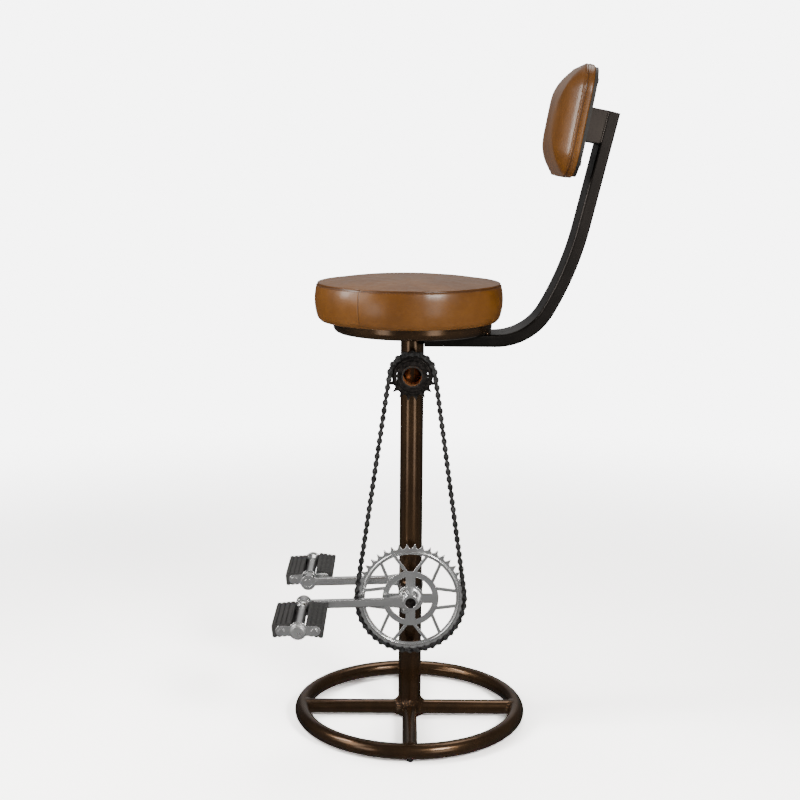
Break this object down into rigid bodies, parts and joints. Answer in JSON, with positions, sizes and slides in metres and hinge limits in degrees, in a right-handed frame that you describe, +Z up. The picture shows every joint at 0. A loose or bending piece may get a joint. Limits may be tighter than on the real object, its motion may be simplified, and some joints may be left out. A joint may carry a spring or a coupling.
{
  "type": "bar chair",
  "caption": "Bar chair with a round leather seat, a padded back on a bent arm, a ring base, and a bicycle crank, pedal and chain drive on the post as a footrest",
  "frame": {"origin": "on the post's axis, at floor level", "axes": "+Z up; -X to the front, where the pedals point; +X to the backrest; -Y to the chain's side"},
  "size_m": [0.5359, 0.396, 1.0801],
  "materials": {
    "bronze_paint": "dark bronze metallic paint, satin",
    "arm_paint": "dark grey-brown metallic paint, satin",
    "leather": "tan-brown waxed leather over foam, soft shine",
    "bright_steel": "bright zinc-plated steel, lightly worn",
    "pedal_steel": "bright zinc-plated pressed steel",
    "block_rubber": "dark grey moulded rubber, matte",
    "glide_rubber": "black rubber, matte",
    "chain_steel": "gunmetal steel, oiled",
    "black_steel": "blackened steel, oiled",
    "ball_steel": "polished bearing steel",
    "plywood": "bare plywood",
    "black_board": "black-stained plywood edge",
    "screw_steel": "zinc-plated screws"
  },
  "bodies": {
    "frame": {"back_arm": "arm_paint", "back_board": "black_board", "back_bracket": "arm_paint", "back_cushion": "leather", "back_mount_plate": "arm_paint", "back_screws": "screw_steel", "base_ring": "bronze_paint", "base_spoke_drive": "bronze_paint", "base_spoke_front": "bronze_paint", "base_spoke_off": "bronze_paint", "base_spoke_rear": "bronze_paint", "chain_joining_link": "chain_steel", "chain_pin_links": "chain_steel", "chain_roller_links": "chain_steel", "crank_balls": "ball_steel", "crank_shell": "bronze_paint", "cup_lock_ring": "bright_steel", "drive_cup": "bright_steel", "floor_glides": "glide_rubber", "freewheel_balls": "ball_steel", "freewheel_body": "black_steel", "freewheel_boss": "black_steel", "freewheel_lock_ring": "black_steel", "freewheel_pawls": "black_steel", "off_cup": "bright_steel", "post_lower": "bronze_paint", "post_upper": "bronze_paint", "seat_board": "plywood", "seat_cushion": "leather", "seat_plate": "bronze_paint", "seat_screws": "screw_steel"},
    "cranks": {"crank_axle": "bright_steel", "drive_crank": "bright_steel", "off_crank": "bright_steel", "chainring": "bright_steel", "cotter_pins": "bright_steel", "cotter_nuts": "bright_steel", "drive_pedal_spindle": "pedal_steel", "off_pedal_spindle": "pedal_steel", "drive_pedal_cone_nut": "pedal_steel", "off_pedal_cone_nut": "pedal_steel"},
    "sprocket": {"freewheel_sprocket": "black_steel"},
    "drive_pedal": {"drive_pedal_barrel": "pedal_steel", "drive_pedal_inner_plate": "pedal_steel", "drive_pedal_outer_plate": "pedal_steel", "drive_pedal_front_block": "block_rubber", "drive_pedal_rear_block": "block_rubber", "drive_pedal_rods": "pedal_steel", "drive_pedal_dust_cap": "pedal_steel", "drive_pedal_balls": "ball_steel"},
    "off_pedal": {"off_pedal_barrel": "pedal_steel", "off_pedal_inner_plate": "pedal_steel", "off_pedal_outer_plate": "pedal_steel", "off_pedal_front_block": "block_rubber", "off_pedal_rear_block": "block_rubber", "off_pedal_rods": "pedal_steel", "off_pedal_dust_cap": "pedal_steel", "off_pedal_balls": "ball_steel"}
  },
  "joints": [
    {"name": "crank_turn", "type": "hinge", "parent": "frame", "child": "cranks", "pos_m": [0, 0, 0.222], "axis": [0, 1, 0], "range_deg": [-49.09, 229.09], "deforming": ["chain_roller_links", "chain_pin_links", "chain_joining_link"]},
    {"name": "freewheel_turn", "type": "hinge", "parent": "frame", "child": "sprocket", "pos_m": [0, 0, 0.59291], "axis": [0, 1, 0], "range_deg": [-121, 561]},
    {"name": "drive_pedal_spin", "type": "hinge", "parent": "cranks", "child": "drive_pedal", "pos_m": [-0.17491, -0.134, 0.2165], "axis": [0, 1, 0], "continuous": true},
    {"name": "off_pedal_spin", "type": "hinge", "parent": "cranks", "child": "off_pedal", "pos_m": [-0.17491, 0.134, 0.2165], "axis": [0, 1, 0], "continuous": true}
  ],
  "couplings": [
    {"joint": "freewheel_turn", "follows": "crank_turn", "ratio": 2.4444}
  ]
}
